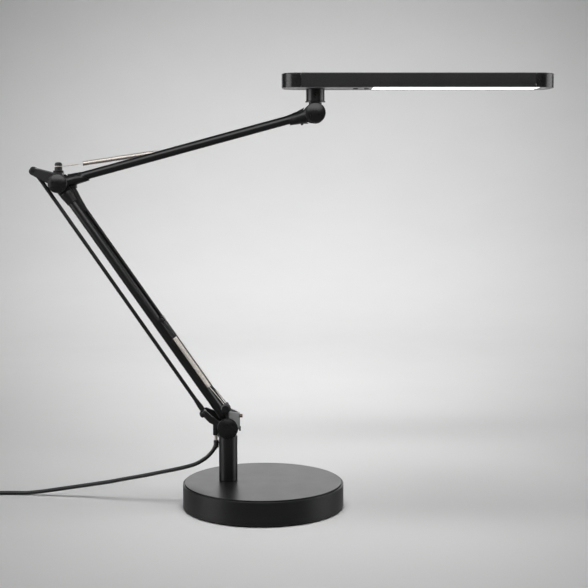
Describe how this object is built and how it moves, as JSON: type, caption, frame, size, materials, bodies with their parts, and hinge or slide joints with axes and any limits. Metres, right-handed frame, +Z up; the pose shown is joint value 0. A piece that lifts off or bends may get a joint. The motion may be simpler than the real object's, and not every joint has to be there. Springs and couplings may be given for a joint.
{
  "type": "desk lamp",
  "caption": "Black spring-balanced LED desk lamp: round weighted base, short pole, two-part arm with parallel rod, slim bar head and power cord.",
  "frame": {"origin": "centre of the base's resting face, on the table", "axes": "+Z up; +X along the arm's plane, towards the free end of the head; +Y square to the arm's plane"},
  "size_m": [0.7821, 0.2, 0.5341],
  "materials": {
    "black_metal": "satin",
    "black_plastic": "matte",
    "head_metal": "satin",
    "base_paint": "satin",
    "spring_steel": "bright",
    "zinc_steel": "bright",
    "brass_bush": "satin",
    "cast_weight": "rough",
    "rubber": "matte",
    "cord_rubber": "satin",
    "panel_grey": "satin",
    "diffuser": "frosted",
    "board": "satin"
  },
  "bodies": {
    "base": {"base_cover": "base_paint", "base_weight": "cast_weight", "base_pad": "rubber", "pole": "black_metal", "pole_bolt": "zinc_steel", "swivel_bush": "brass_bush", "cord_clip": "black_plastic", "strain_relief": "cord_rubber", "cord_tube": "cord_rubber", "cord_coil": "cord_rubber", "plug_body": "black_plastic", "plug_pin_a": "zinc_steel", "plug_pin_b": "zinc_steel"},
    "swivel_bracket": {"swivel_lead": "cord_rubber", "bracket": "black_metal", "ear_pin": "black_metal", "spring_anchor_near": "black_metal", "spring_anchor_far": "black_metal", "cable_block": "black_plastic", "lug_screw": "zinc_steel", "lower_pivot_bolt": "zinc_steel", "lower_cap_near": "black_plastic", "lower_cap_far": "black_plastic"},
    "lower_arm": {"lower_knuckle": "black_metal", "lower_tube": "black_metal", "elbow_sleeve": "black_metal", "spring_carrier": "black_metal", "lower_spring_near": "spring_steel", "lower_spring_far": "spring_steel", "spring_adjuster_near": "black_metal", "spring_adjuster_far": "black_metal", "arm_cable": "cord_rubber"},
    "parallel_rod": {"parallel_rod": "black_metal"},
    "elbow_plate": {"elbow_lever": "black_metal", "spring_post": "black_metal", "rod_pin": "black_metal"},
    "upper_arm": {"upper_fork": "black_metal", "tip_fork": "black_metal", "upper_tube": "black_metal", "upper_spring": "spring_steel", "upper_spring_pin": "black_metal", "tip_screw": "zinc_steel", "elbow_pivot_bolt": "zinc_steel", "head_pivot_bolt": "zinc_steel", "elbow_cap_near": "black_plastic", "elbow_cap_far": "black_plastic", "head_cap_near": "black_plastic", "head_cap_far": "black_plastic"},
    "head_knuckle": {"head_knuckle": "black_metal"},
    "head": {"head_socket": "black_metal", "socket_screw": "zinc_steel", "head_housing": "head_metal", "head_end_left": "head_metal", "head_end_right": "head_metal", "head_panel": "panel_grey", "light_panel": "diffuser", "light_board": "board", "driver": "board"},
    "power_button": {"power_button": "black_plastic"},
    "dimmer_button": {"dimmer_button": "black_plastic"}
  },
  "joints": [
    {"name": "base_swivel", "type": "hinge", "parent": "base", "child": "swivel_bracket", "pos_m": [-0.0436, 0.004, 0.0885], "axis": [0, 0, 1], "range_deg": [-80, 80], "deforming": ["swivel_lead"]},
    {"name": "lower_arm_tilt", "type": "hinge", "parent": "swivel_bracket", "child": "lower_arm", "pos_m": [-0.0436, 0.004, 0.101], "axis": [0, -1, 0], "range_deg": [-28, 9], "deforming": ["lower_spring_near", "lower_spring_far", "arm_cable"]},
    {"name": "rod_pivot", "type": "hinge", "parent": "swivel_bracket", "child": "parallel_rod", "pos_m": [-0.0746, 0.004, 0.117], "axis": [0, -1, 0], "range_deg": [-28, 9]},
    {"name": "elbow_plate_pivot", "type": "hinge", "parent": "lower_arm", "child": "elbow_plate", "pos_m": [-0.2487, 0.004, 0.4023], "axis": [0, -1, 0], "range_deg": [-9, 28]},
    {"name": "upper_arm_tilt", "type": "hinge", "parent": "elbow_plate", "child": "upper_arm", "pos_m": [-0.2487, 0.004, 0.4023], "axis": [0, -1, 0], "range_deg": [-18, 40], "deforming": ["upper_spring"]},
    {"name": "head_tilt", "type": "hinge", "parent": "upper_arm", "child": "head_knuckle", "pos_m": [0.0643, 0.004, 0.4873], "axis": [0, -1, 0], "range_deg": [-60, 25]},
    {"name": "head_swivel", "type": "hinge", "parent": "head_knuckle", "child": "head", "pos_m": [0.0643, 0.004, 0.5003], "axis": [0, 0, 1], "range_deg": [-90, 90]},
    {"name": "power_press", "type": "slide", "parent": "head", "child": "power_button", "axis": [0, 0, 1], "range_m": [0, 0.0006], "stiffness_N_per_m": 400},
    {"name": "dimmer_press", "type": "slide", "parent": "head", "child": "dimmer_button", "axis": [0, 0, 1], "range_m": [0, 0.0006], "stiffness_N_per_m": 400}
  ],
  "couplings": [
    {"joint": "rod_pivot", "follows": "lower_arm_tilt", "ratio": 1},
    {"joint": "elbow_plate_pivot", "follows": "lower_arm_tilt", "ratio": -1}
  ]
}
